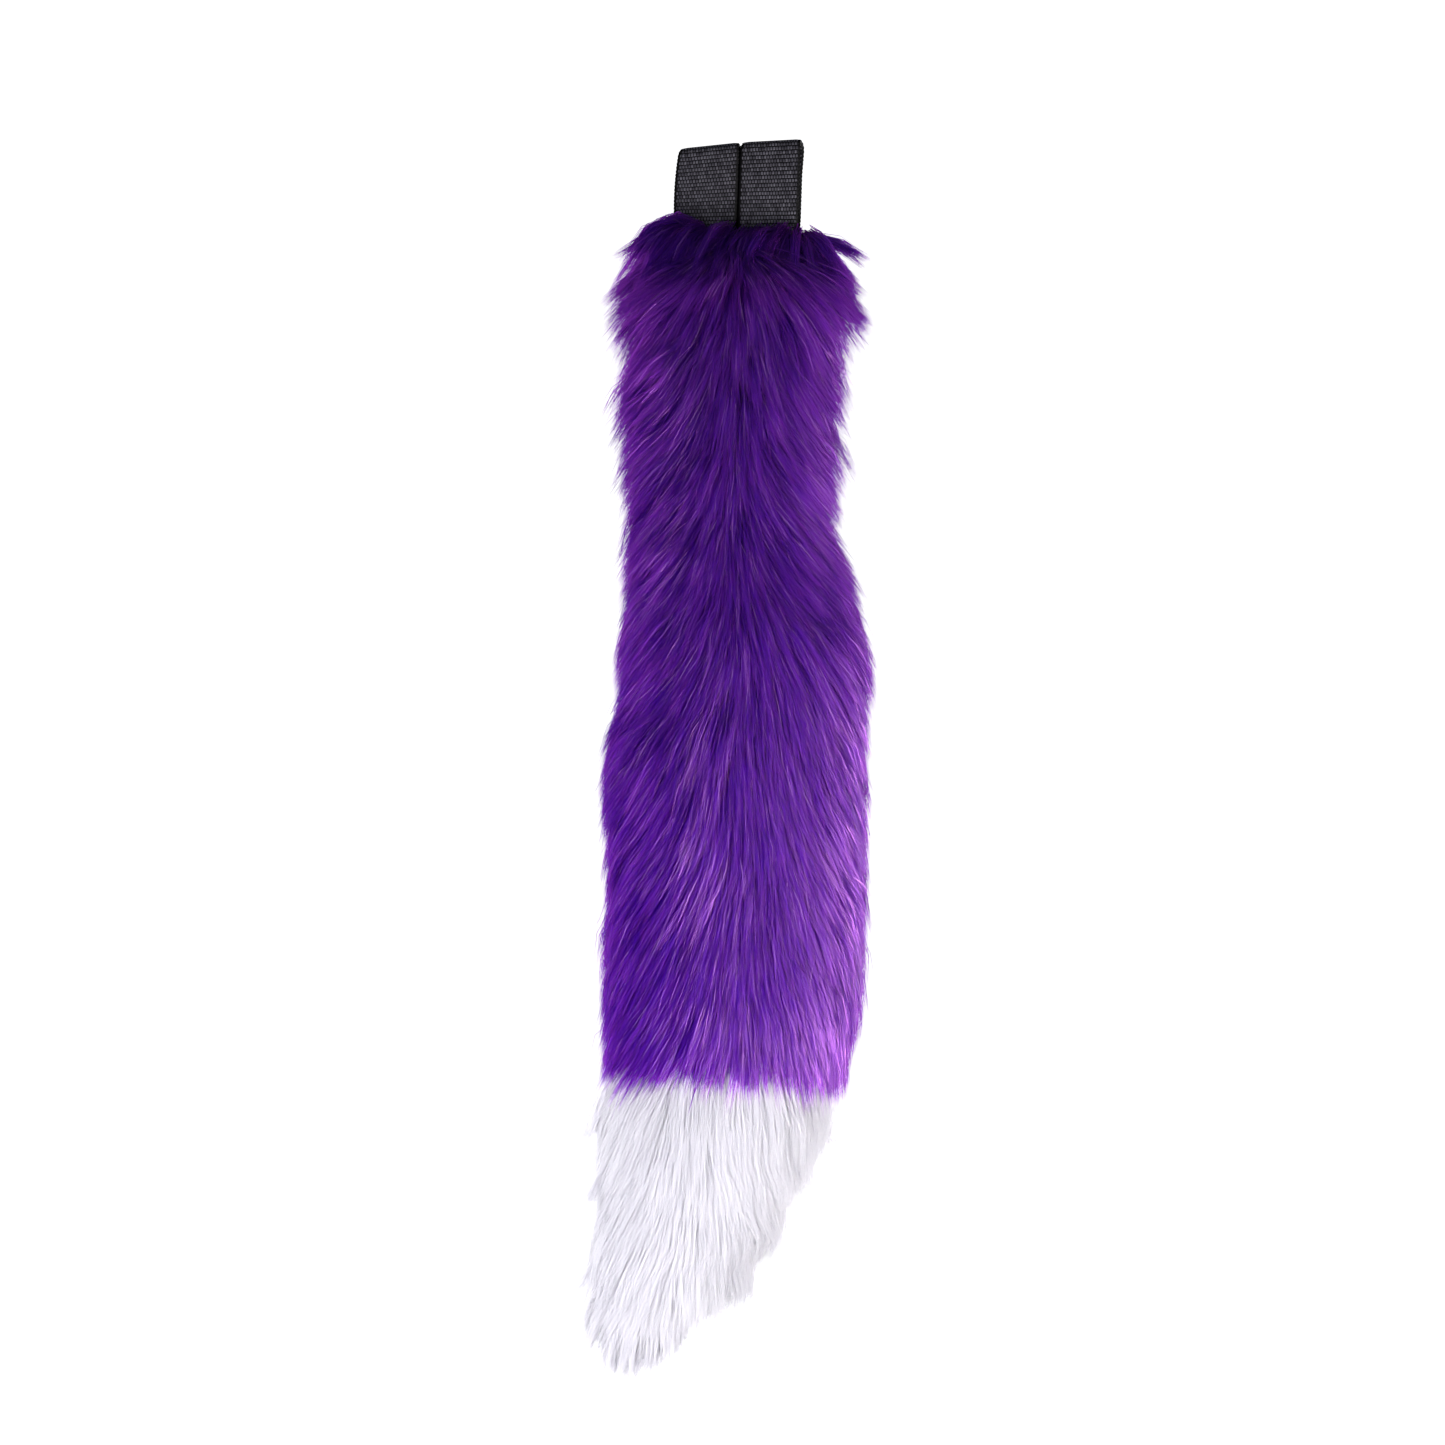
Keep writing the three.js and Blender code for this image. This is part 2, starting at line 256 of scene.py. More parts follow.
# The stuffed tube: knitted backing cloth sewn into a long tube that bends a little to the left, closed round
# the ends of the webbing at the top, and filled with loose stuffing. The pile hides it except where the hair
# parts.
FUR_DROP = 33 * MM
TOP_HAIR = 8 * MM
PURPLE_CLOTH = 337 * MM
WHITE_CLOTH = 112 * MM
TIP_HAIR = 24 * MM
FUR_WIDTH = 112.6 * MM
COAT = 12 * MM
TOP_ROUND = 20 * MM
TIP_ROUND = 26 * MM
SEAM_GAP = 0.3 * MM
LEAST_DEPTH = 4 * MM
CLOTH_SIDES = 48
PURPLE_RINGS = 60
WHITE_RINGS = 30
END_CROWDING = 0.65
FUR_LENGTH = TOP_HAIR + PURPLE_CLOTH + WHITE_CLOTH + TIP_HAIR
SEAM_AT = TOP_HAIR + PURPLE_CLOTH
CLOTH_END = SEAM_AT + WHITE_CLOTH
# down is a share of the fur's length, shift and reach are shares of half its width, depth is the
# front-to-back reach as a share of the sideways one, coat is how far the hair stands off, and shag is how
# much it varies
OUTLINE_COLUMNS = ("down", "shift", "reach", "depth", "coat", "shag")
OUTLINE = np.array([
    (0.000, -0.04, 0.74, 0.50, 0.80, 1.0),
    (0.056, -0.03, 0.89, 0.76, 1.40, 1.0),
    (0.110, -0.04, 0.91, 0.82, 1.70, 1.0),
    (0.162, -0.07, 0.85, 0.84, 1.65, 1.0),
    (0.231, -0.06, 0.78, 0.86, 1.45, 0.8),
    (0.301, -0.01, 0.82, 0.84, 1.20, 0.6),
    (0.372, 0.04, 0.91, 0.82, 1.00, 0.4),
    (0.476, -0.03, 0.98, 0.80, 0.95, 0.4),
    (0.547, -0.02, 0.98, 0.80, 0.95, 0.4),
    (0.634, -0.04, 0.99, 0.80, 0.95, 0.35),
    (0.686, -0.055, 0.97, 0.82, 0.95, 0.35),
    (0.738, -0.135, 0.925, 0.83, 0.95, 0.4),
    (0.773, -0.18, 0.91, 0.84, 0.95, 0.5),
    (0.825, -0.29, 0.78, 0.88, 0.95, 0.5),
    (0.877, -0.415, 0.70, 0.90, 0.95, 0.5),
    (0.929, -0.64, 0.52, 0.92, 0.95, 0.5),
    (0.965, -0.76, 0.40, 0.95, 0.95, 0.5),
    (1.000, -0.86, 0.24, 1.00, 0.95, 0.5),
])


def outline_at(down, column):
    """A column of the outline, eased between its rows, at distances below the first hair."""
    rows = OUTLINE[:, 0]
    share = np.clip(np.asarray(down) / FUR_LENGTH, 0, 1)
    above = np.clip(np.searchsorted(rows, share, side="right") - 1, 0, len(rows) - 2)
    blend = (share - rows[above]) / (rows[above + 1] - rows[above])
    blend = blend * blend * (3 - 2 * blend)
    values = OUTLINE[:, OUTLINE_COLUMNS.index(column)]
    return values[above] * (1 - blend) + values[above + 1] * blend


def opened(distance, length):
    """How far a rounded end has opened, from 0 to 1, at a distance from it."""
    left = 1 - np.clip(distance / length, 0, 1)
    return np.sqrt(1 - left * left)


def cloth_at(down, turn):
    """Points on the cloth. Turn runs from the right-hand side towards the front."""
    down = np.asarray(down, float)
    coat = outline_at(down, "coat") * COAT
    reach = outline_at(down, "reach") * FUR_WIDTH / 2
    opening = opened(down - TOP_HAIR, TOP_ROUND) * opened(CLOTH_END - down, TIP_ROUND)
    middle = outline_at(down, "shift") * FUR_WIDTH / 2
    across = middle + opening * (reach - coat) * np.cos(turn)
    depth = np.maximum(reach * outline_at(down, "depth") - coat, LEAST_DEPTH)
    forwards = -opening * depth * np.sin(turn)
    return np.stack([across, forwards, -FUR_DROP - down], axis=-1)


def cloth_tube(name, start, end, rings):
    """A closed stretch of the tube between two distances below the first hair. Rings crowd at its ends."""
    tube = bmesh.new()
    bmesh.ops.create_grid(tube, x_segments=CLOTH_SIDES, y_segments=rings, size=0.5)
    share = np.array([(v.co.x + 0.5, 0.5 - v.co.y) for v in tube.verts])
    eased = 0.5 - 0.5 * np.cos(np.pi * share[:, 1])
    down = start + (end - start) * ((1 - END_CROWDING) * share[:, 1] + END_CROWDING * eased)
    places = cloth_at(down, share[:, 0] * math.tau)
    for vert, place in zip(tube.verts, places, strict=True):
        vert.co = place
    bmesh.ops.remove_doubles(tube, verts=tube.verts, dist=0.02 * MM)
    bmesh.ops.holes_fill(tube, edges=tube.edges, sides=0)
    bmesh.ops.recalc_face_normals(tube, faces=tube.faces)
    mesh = bpy.data.meshes.new(name)
    tube.to_mesh(mesh)
    tube.free()
    mesh.shade_smooth()
    piece = bpy.data.objects.new(name, mesh)
    bpy.context.collection.objects.link(piece)
    return piece


# Knitted polyester backing, dyed with the pile: a fine rib of courses that only shows as a dark, matt ground.
def knitted_backing(name, light, dark):
    material, shader = new_material(name)
    place = add_node(material, "ShaderNodeTexCoord").outputs["Object"]
    courses = add_node(material, "ShaderNodeTexWave", {"bands_direction": "Z"}, {
        "Vector": place, "Scale": 160.0, "Distortion": 1.5, "Detail": 1.0,
    })
    ramp = add_node(material, "ShaderNodeMix", {"data_type": "RGBA"}, {0: courses.outputs["Fac"]})
    ramp.inputs["A"].default_value = linear(dark)
    ramp.inputs["B"].default_value = linear(light)
    material.node_tree.links.new(ramp.outputs["Result"], shader.inputs["Base Color"])
    shader.inputs["Roughness"].default_value = 0.95
    shader.inputs["Specular IOR Level"].default_value = 0.1
    return material


purple_tube = cloth_tube("purple_cloth_tube", TOP_HAIR, SEAM_AT, PURPLE_RINGS)
purple_tube.data.materials.append(knitted_backing("purple_knitted_backing", "#2a0a5c", "#1a0440"))
white_tube = cloth_tube("white_cloth_tube", SEAM_AT + SEAM_GAP, CLOTH_END, WHITE_RINGS)
white_tube.data.materials.append(knitted_backing("white_knitted_backing", "#e9e6f2", "#dcd9e8"))
for tube_piece, node, slot in (
    (purple_tube, "fur_body", "purple_pile"), (white_tube, "fur_tip", "white_pile"),
):
    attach(tube_piece, "root")
    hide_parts(node)

# The purple pile: straight acrylic hair about 38 mm long, knitted into the cloth and brushed downwards. It
# parts along the middle line, lies in locks that taper together at their ends, and is shaggiest near the top.
PILE_LENGTH = 38 * MM
SHORTEST_HAIR = 8 * MM
HAIR_WIDTH = 0.36 * MM
WIDTH_RANGE = (0.7, 1.25)
JOINTS = np.array([0.0, 0.3, 0.66, 1.0])
JOINT_WIDTHS = np.array([0.9, 1.0, 0.8])
HAIR_ROLL = 35
UV_HALF_WIDTH = 0.002
HAIR_NOISE = 0.5 * MM
LENGTH_SPREAD = 0.06
STAND_SPREAD = (0.95, 0.12)
LEAN_SPREAD = 3.5
SHADE_SPREAD = (0.42, 0.18)
TUFT_SHADE_SPREAD = (0.5, 0.16)
# Painted glints: a share of hairs is coloured paler, up the shade ramp towards lavender, for light glinting
# on them
PAINTED_GLINT_HAIRS = 0.1
PAINTED_GLINT_SHADES = (0.25, 0.55)
FLYAWAYS = 0.05
FLYAWAY_LEAN = 16
FLYAWAY_PULL = 0.3
MOST_CUT = 0.45
MOST_TUFT_CUT = 0.5
CUT_POWER = 1.5
PULL_POWER = 1.5
PULL_RANGE = (0.75, 1.0)
STAND_RANGE = (0.3, 1.75)
LOCK_STAND_RANGE = (0.35, 1.8)
LONGEST_SHARE = 1.35
LOCK_STAND = 0.28
LOCK_LEAN = 9
LOCK_LENGTH = 0.1
LOCK_SHADE = 0.1
LOCK_SHADE_SPACING = 2 * MM
LEAN_LEFT = 36
LEAN_RIGHT = 24
DROOP = 11 * MM
TIP_LEAN = 17
SWIRL = 4
ROOT_MARGIN = 0.3 * MM
PROBE = 0.5 * MM
TURN_PROBE = 0.02
LONGEST_RUN = 5.0
TRIES_PER_ROOT = 8
HEM_DROP = -397 * MM
HEM_SLOPE = -0.085
HEM_RAGGED = 3.0 * MM
WEBBING_ROOM = (-27.2 * MM, 27.6 * MM, 5.4 * MM)


def cloth_frame(down, turn):
    """Unit vectors down, around and out for hair on the cloth, with the metres that a step of down or turn
    covers. On the closed ends the directions are those of the nearest open part, as brushed hair keeps
    running on."""
    def along_at(place):
        low = np.clip(place - PROBE, TOP_HAIR + 0.1 * PROBE, CLOTH_END - 2.4 * PROBE)
        high = np.clip(place + PROBE, TOP_HAIR + 2.0 * PROBE, CLOTH_END - 0.1 * PROBE)
        return (cloth_at(high, turn) - cloth_at(low, turn)) / (high - low)[:, None]

    def around_at(place):
        return (cloth_at(place, turn + TURN_PROBE) - cloth_at(place, turn - TURN_PROBE)) / (2 * TURN_PROBE)

    run = np.maximum(np.linalg.norm(along_at(down), axis=1), 1e-6)
    round_run = np.maximum(np.linalg.norm(around_at(down), axis=1), LEAST_DEPTH)
    open_part = np.clip(down, TOP_HAIR + 0.3 * TOP_ROUND, CLOTH_END - 0.6 * TIP_ROUND)
    along, around = along_at(open_part), around_at(open_part)
    along /= np.linalg.norm(along, axis=1)[:, None]
    around /= np.linalg.norm(around, axis=1)[:, None]
    return along, around, np.cross(around, along), run, round_run


def scatter_roots(rng, count, start, end):
    """Roots spread evenly over the cloth between two distances below the first hair."""
    down = rng.uniform(start, end, count * TRIES_PER_ROOT)
    turn = rng.uniform(0, math.tau, count * TRIES_PER_ROOT)
    _, _, _, run, round_run = cloth_frame(down, turn)
    area = np.minimum(run, LONGEST_RUN) * round_run
    kept = rng.uniform(0, 1, len(area)) < area / area.max()
    return down[kept][:count], turn[kept][:count]


def comb_angle(down, turn):
    """How far hair leans away from the front and back middle lines, in radians, with slow swirls."""
    side = np.sin(2 * (turn - math.pi / 2))
    lean = np.where(np.cos(turn) < 0, LEAN_LEFT, LEAN_RIGHT) * side
    calmer = 1 - 0.35 * np.clip((down - 0.3 * FUR_LENGTH) / (0.3 * FUR_LENGTH), 0, 1)
    swirl = np.sin(down * 38 + 2.1 * np.sin(turn * 2 + 1)) + 0.7 * np.sin(down * 83 + turn * 3 + 0.6)
    hanging = TIP_LEAN * np.sin(turn) * np.clip((down - SEAM_AT) / (40 * MM) + 0.3, 0, 1)
    return np.radians(lean * calmer + SWIRL * swirl - hanging)


def hair_paths(down, turn, length, stand, lean, free, curl):
    """The middle line of each hair, which follows the cloth or, where free, leaves it, and the way out along
    that line."""
    root = cloth_at(down, turn)
    along, around, out, _, _ = cloth_frame(down, turn)
    away = along * np.cos(lean)[:, None] + around * np.sin(lean)[:, None]
    points, outs = [root], [out]
    now_down, now_turn = down.copy(), turn.copy()
    height = np.zeros(len(down))
    gone = np.zeros(len(down))
    for before, share in zip(JOINTS, JOINTS[1:]):
        piece = length * (share - before)
        next_height = stand * (1 - (1 - share) ** curl)
        run = np.sqrt(np.maximum(piece ** 2 - (next_height - height) ** 2, (0.2 * piece) ** 2))
        height = next_height
        gone = gone + run
        _, _, _, run_down, run_turn = cloth_frame(now_down, now_turn)
        now_down = now_down + run * np.cos(lean) / run_down
        now_turn = now_turn + np.clip(run * np.sin(lean) / run_turn, -0.4, 0.4)
        _, _, now_out, _, _ = cloth_frame(now_down, now_turn)
        lying = cloth_at(now_down, now_turn) + now_out * height[:, None]
        loose = root + away * gone[:, None] + out * height[:, None]
        loose[:, 2] -= DROOP * share ** 2 * np.clip(1.1 + away[:, 2], 0, 1)
        points.append(lying * (1 - free)[:, None] + loose * free[:, None])
        outs.append(now_out * (1 - free)[:, None] + out * free[:, None])
    return np.stack(points, axis=1), np.stack(outs, axis=1)


def lock_centres(rng, start, end, spacing):
    """Evenly spread roots for the locks' middle hairs."""
    probe_down, probe_turn = np.full(64, (start + end) / 2), np.linspace(0, math.tau, 64)
    round_length = np.mean(cloth_frame(probe_down, probe_turn)[4]) * math.tau
    count = int(round_length * (end - start) / spacing ** 2 * 1.15)
    return scatter_roots(rng, count, start, end)


def nearest_lock(places, centres):
    """For each place, the nearest of the centres."""
    tree = kdtree.KDTree(len(centres))
    for index, centre in enumerate(centres):
        tree.insert(centre, index)
    tree.balance()
    return np.array([tree.find(place)[1] for place in places])


def looseness(down):
    """How far hair leaves the cloth's curve: near the tip, where it runs past the cloth, and where shaggy."""
    past_end = np.clip((down - (CLOTH_END - 45 * MM)) / (30 * MM), 0, 1)
    return np.clip(0.1 + 0.85 * past_end + 0.6 * outline_at(down, "shag"), 0, 1)


def curl_at(down):
    """How early hair turns to lie down: shaggy hair stays straight and points outwards."""
    return 1.75 - 0.65 * outline_at(down, "shag")


def shortened(paths, keep):
    """The same hairs, each cut to a share of its length."""
    shares = JOINTS[None, :] * keep[:, None]
    after = np.clip(np.searchsorted(JOINTS, shares, side="right"), 1, len(JOINTS) - 1)
    blend = ((shares - JOINTS[after - 1]) / (JOINTS[after] - JOINTS[after - 1]))[..., None]
    hair = np.arange(len(paths))[:, None]
    return paths[hair, after - 1] * (1 - blend) + paths[hair, after] * blend


def keep_off_webbing(paths):
    """Moves hair out of the webbing's room, to its front or its back."""
    left, right, depth = WEBBING_ROOM
    x, y, z = paths[..., 0], paths[..., 1], paths[..., 2]
    inside = (x > left) & (x < right) & (np.abs(y) < depth) & (z > -SEAM_DROP - 1 * MM)
    front = paths[:, :1, 1] <= 0
    paths[..., 1] = np.where(inside, np.where(front, -depth, depth), y)
    return paths


def comb(rng, down, turn, levels, start, end, hem=False):
    """Paths of hairs that share their locks' bends and close up towards their locks' middles, with the way
    out along each hair and its shade. Each level gives its locks' spacing, how much they pull together and
    how much they bend."""
    coat = outline_at(down, "coat") * COAT
    count = len(down)
    length = PILE_LENGTH * rng.normal(1, LENGTH_SPREAD, count)
    stand = coat * rng.normal(*STAND_SPREAD, count)
    lean = comb_angle(down, turn) + rng.normal(0, math.radians(LEAN_SPREAD), count)
    shade = rng.normal(*SHADE_SPREAD, count)
    root = cloth_at(down, turn)
    pulls = []
    lock_hem = np.zeros(count)
    for spacing, pull, bend in levels:
        lock_down, lock_turn = lock_centres(rng, start, end, spacing)
        own = nearest_lock(root, cloth_at(lock_down, lock_turn))
        number = len(lock_down)
        lock_shag = outline_at(lock_down, "shag")
        lock_stand = rng.normal(0, LOCK_STAND, number) * bend * (0.35 + 0.75 * lock_shag)
        lock_turned = rng.normal(0, math.radians(LOCK_LEAN), number) * bend * (0.5 + 0.6 * lock_shag)
        lock_lean = comb_angle(lock_down, lock_turn) + lock_turned
        lock_length = PILE_LENGTH * (1 + rng.normal(0, LOCK_LENGTH, number) * bend)
        stand = stand * (1 + lock_stand[own])
        lean = lean + lock_turned[own]
        length = length * (1 + LOCK_LENGTH * bend * rng.normal(0, 1, number)[own])
        shade = shade + (rng.normal(0, LOCK_SHADE, number) * math.sqrt(LOCK_SHADE_SPACING / spacing))[own]
        lock_paths, _ = hair_paths(
            lock_down, lock_turn, lock_length,
            outline_at(lock_down, "coat") * COAT * np.clip(1 + lock_stand, *LOCK_STAND_RANGE),
            lock_lean, looseness(lock_down), curl_at(lock_down),
        )
        pulls.append((own, lock_paths, pull))
        lock_hem = lock_hem + (rng.normal(0, 2 * HEM_RAGGED, number) * pull)[own]
    stand = np.clip(stand, STAND_RANGE[0] * coat, STAND_RANGE[1] * coat)
    length = np.clip(length, SHORTEST_HAIR, LONGEST_SHARE * PILE_LENGTH)
    flyaway = rng.uniform(0, 1, count) < FLYAWAYS
    lean = lean + np.where(flyaway, rng.normal(0, math.radians(FLYAWAY_LEAN), count), 0)
    paths, outs = hair_paths(down, turn, length, stand, lean, looseness(down), curl_at(down))
    for own, lock_paths, pull in pulls:
        strength = pull * rng.uniform(*PULL_RANGE, count)[:, None] * JOINTS[None, :] ** PULL_POWER
        strength = strength * np.where(flyaway, FLYAWAY_PULL, 1.0)[:, None]
        paths = paths + (lock_paths[own] - paths) * strength[:, :, None]
    paths = paths + rng.normal(0, HAIR_NOISE, paths.shape) * JOINTS[None, :, None]
    paths = shortened(paths, 1 - MOST_CUT * rng.uniform(0, 1, count) ** CUT_POWER)
    if hem:
        ends_at = HEM_DROP + HEM_SLOPE * paths[:, -1, 0] + lock_hem + np.abs(rng.normal(0, HEM_RAGGED, count))
        keep = (paths[:, 0, 2] - ends_at) / np.maximum(paths[:, 0, 2] - paths[:, -1, 2], 1 * MM)
        paths = shortened(paths, np.clip(keep, 0.15, 1))
    # Painted glints: some hairs get a paler colour for light glinting on the fibres
    shade = shade + np.where(rng.uniform(0, 1, count) < PAINTED_GLINT_HAIRS, rng.uniform(*PAINTED_GLINT_SHADES, count), 0)
    return keep_off_webbing(paths), outs, shade


def hair_mesh(name, rng, paths, outs, shade, evenness):
    """A mesh of flat tapering hairs, whose UV map holds each hair's shade across and the way to its tip
    upwards. Evenness is how much each hair is shaded like the coat as a whole instead of by itself."""
    count, joints = paths.shape[:2]
    width = HAIR_WIDTH * rng.uniform(*WIDTH_RANGE, count)
    onward = np.empty_like(paths)
    onward[:, 1:-1] = paths[:, 2:] - paths[:, :-2]
    onward[:, 0] = paths[:, 1] - paths[:, 0]
    onward[:, -1] = paths[:, -1] - paths[:, -2]
    onward /= np.maximum(np.linalg.norm(onward, axis=2, keepdims=True), 1e-9)
    side = np.cross(onward, outs)
    side /= np.maximum(np.linalg.norm(side, axis=2, keepdims=True), 1e-9)
    up = np.cross(side, onward)
    roll = rng.normal(0, math.radians(HAIR_ROLL), count)[:, None, None]
    side, up = side * np.cos(roll) + up * np.sin(roll), up * np.cos(roll) - side * np.sin(roll)
    half = 0.5 * width[:, None] * JOINT_WIDTHS[None, :]
    left = paths[:, :-1] - side[:, :-1] * half[:, :, None]
    right = paths[:, :-1] + side[:, :-1] * half[:, :, None]
    body = np.stack([left, right], axis=2).reshape(count, (joints - 1) * 2, 3)
    verts = np.concatenate([body, paths[:, -1:]], axis=1)
    soft = up * (1 - evenness) + outs * evenness
    soft /= np.maximum(np.linalg.norm(soft, axis=2, keepdims=True), 1e-9)
    normals = np.concatenate([np.repeat(soft[:, :-1], 2, axis=1), soft[:, -1:]], axis=1)
    per_hair = verts.shape[1]
    faces, starts = [], []
    for step in range(joints - 2):
        starts.append(len(faces))
        faces += [2 * step, 2 * step + 1, 2 * step + 3, 2 * step + 2]
    starts.append(len(faces))
    faces += [per_hair - 3, per_hair - 2, per_hair - 1]
    faces, starts = np.array(faces), np.array(starts)
    corners = (np.arange(count)[:, None] * per_hair + faces[None, :]).ravel()
    face_starts = (np.arange(count)[:, None] * len(faces) + starts[None, :]).ravel()
    across = np.tile(np.array([-UV_HALF_WIDTH, UV_HALF_WIDTH] * (joints - 1) + [0.0]), (count, 1))
    across = across + np.clip(shade, 0.01, 0.99)[:, None]
    upwards = np.tile(np.append(np.repeat(JOINTS[:-1], 2), 1.0) * 0.96 + 0.02, (count, 1))
    uv = np.stack([across.ravel()[corners], upwards.ravel()[corners]], axis=1)
    mesh = bpy.data.meshes.new(name)
    mesh.vertices.add(count * per_hair)
    mesh.vertices.foreach_set("co", verts.astype(np.float32).ravel())
    mesh.loops.add(len(corners))
    mesh.loops.foreach_set("vertex_index", corners.astype(np.int32))
    mesh.polygons.add(len(face_starts))
    mesh.polygons.foreach_set("loop_start", face_starts.astype(np.int32))
    mesh.uv_layers.new(name="OFBake").uv.foreach_set("vector", uv.astype(np.float32).ravel())
    mesh.update(calc_edges=True)
    mesh.shade_smooth()
    mesh.normals_split_custom_set_from_vertices(normals.reshape(-1, 3))
    piece = bpy.data.objects.new(name, mesh)
    bpy.context.collection.objects.link(piece)
    return piece


# Acrylic pile: smooth dyed fibre with a satin gloss. Each hair keeps one shade, with painted shade that makes
# it deeper at its root, where light hardly reaches, and painted light that makes it paler towards its fine
# tip, which lets light through.
def acrylic_pile(
    name, shades, painted_root_shade, painted_tip_light, through_shade, through, gloss_shade, gloss, refraction, roughness,
):
    material, shader = new_material(name)
    split = add_node(material, "ShaderNodeSeparateXYZ", inputs={
        "Vector": add_node(material, "ShaderNodeUVMap", {"uv_map": "OFBake"}).outputs["UV"],
    })
    ramp = add_node(material, "ShaderNodeValToRGB", inputs={"Fac": split.outputs["X"]})
    ramp.color_ramp.elements.remove(ramp.color_ramp.elements[0])
    ramp.color_ramp.elements[0].position = shades[0][0]
    ramp.color_ramp.elements[0].color = linear(shades[0][1])
    for position, colour in shades[1:]:
        ramp.color_ramp.elements.new(position).color = linear(colour)
    # Painted shade: each hair is darkened towards its root, where the pile around it shades it
    depth = add_node(material, "ShaderNodeMapRange", {"interpolation_type": "SMOOTHSTEP"}, {
        "Value": split.outputs["Y"], "From Min": 0.0, "From Max": 0.7,
    })
    body = add_node(material, "ShaderNodeMix", {"data_type": "RGBA"}, {0: depth.outputs["Result"]})
    body.inputs["A"].default_value = linear(painted_root_shade)
    material.node_tree.links.new(ramp.outputs["Color"], body.inputs["B"])
    # Painted light: each hair is paled towards its tip for the light that comes through its thin end
    end = add_node(material, "ShaderNodeMapRange", {"interpolation_type": "SMOOTHSTEP"}, {
        "Value": split.outputs["Y"], "From Min": 0.75, "From Max": 1.0, "To Max": 0.6,
    })
    mixed = add_node(material, "ShaderNodeMix", {"data_type": "RGBA"}, {0: end.outputs["Result"]})
    material.node_tree.links.new(body.outputs["Result"], mixed.inputs["A"])
    mixed.inputs["B"].default_value = linear(painted_tip_light)
    material.node_tree.links.new(mixed.outputs["Result"], shader.inputs["Base Color"])
    shader.inputs["Roughness"].default_value = roughness
    shader.inputs["IOR"].default_value = refraction
    shader.inputs["Specular IOR Level"].default_value = gloss
    shader.inputs["Specular Tint"].default_value = linear(gloss_shade)
    lets_through = add_node(material, "ShaderNodeBsdfTranslucent", inputs={
        "Color": linear(through_shade),
        "Normal": add_node(material, "ShaderNodeNewGeometry").outputs["True Normal"],
    })
    fibre = add_node(material, "ShaderNodeMixShader", inputs={
        0: through, 1: shader.outputs["BSDF"], 2: lets_through.outputs["BSDF"],
    })
    surface = material.node_tree.nodes["Material Output"].inputs["Surface"]
    material.node_tree.links.new(fibre.outputs["Shader"], surface)
    return material


purple_acrylic = acrylic_pile(
    "purple_acrylic_pile",
    shades=((0.0, "#1e006c"), (0.3, "#2b0092"), (0.5, "#3700a8"), (0.7, "#5c12b4"), (1.0, "#c48ce0")),
    painted_root_shade="#180060", painted_tip_light="#9030be", through_shade="#c04ce8", through=0.4,
    gloss_shade="#f09ef4", gloss=1.0, refraction=1.9, roughness=0.45,
)
PURPLE_SEED = 11
PURPLE_HAIRS = 35400
PURPLE_EVENNESS = 0.38
PURPLE_STRETCHES = ("top", "upper", "middle", "lower")
STRETCH_SHARES = np.array([0.0, 0.235, 0.48, 0.74, 1.0])
HEM_MARGIN = 1.5 * MM
TOP_TUFT_HAIRS = 8240
TOP_TUFT_RISE = 0.5
# The spacing of the locks at each level, how much they pull together and how much they bend
SHAGGY_LOCKS = ((14 * MM, 0.2, 0.6), (5.2 * MM, 0.7, 0.9), (2.2 * MM, 0.6, 0.4))
SMOOTH_LOCKS = ((15 * MM, 0.2, 0.7), (5.5 * MM, 0.65, 0.8), (2.2 * MM, 0.65, 0.45))
# Free locks that stand out of the outline at the top: where each starts and ends, in mm across, forwards and
# down, how far it arches upwards, how thick it is at its root, into how many ends it splits, and its hairs
TOP_TUFTS = (
    (-20, -3, 40, -51, -5, 50, 12, 3.6, 4, 420),
    (-17, -6.8, 37, -51, -8, 53, 26, 2.6, 4, 300),
    (-24, 4, 44, -50, 3, 60, 7, 4.0, 4, 380),
    (24, -3, 41, 52, -4, 48, 9, 3.2, 4, 380),
    (26, 4, 43, 50, 3, 57, 6, 4.0, 4, 380),
    (30, -6, 50, 52, -7, 66, 5, 4.0, 4, 360),
    (-30, -6, 52, -52, -7, 66, 6, 4.0, 4, 360),
    (32, 3, 58, 52, 2, 78, 5, 4.0, 4, 320),
    (-32, 3, 62, -52, 2, 82, 5, 4.0, 4, 320),
)
# The fringe round the webbing, in front and, mirrored, behind: where its hair starts and ends, in mm across,
# forwards and down, and how far it arches upwards. Hair between two rows takes what lies between them.
CROWN = np.array([
    # root across, root down, tip across, tip forwards, tip down, arch
    (-29, 35.5, -51, -11, 64, 13),
    (-18, 35.5, -40, -22, 79, 19),
    (-6, 36.0, -27, -29, 90, 23),
    (8, 36.5, -13, -33, 96, 25),
    (19, 37.0, 0, -33, 94, 25),
    (24, 37.5, 24, -27, 85, 21),
    (29, 38.5, 48, -12, 69, 12),
])
CROWN_ROOT = 6.6
CROWN_THICKNESS = 2.4
CROWN_ENDS = 2
CROWN_LOCKS = 56
CROWN_LOCK_HAIRS = 46
# How unevenly its locks start downwards and end across, forwards and downwards, and arch, in mm
CROWN_UNEVEN = (0.8, 3.5, 2.0, 8.0, 1.2)
# How far hairs stray from the middle of their tuft, in its thicknesses: at the root, at the bend, for each
# split end, and at their tips
TUFT_STRAY = (0.5, 0.5, 0.6, 0.2)


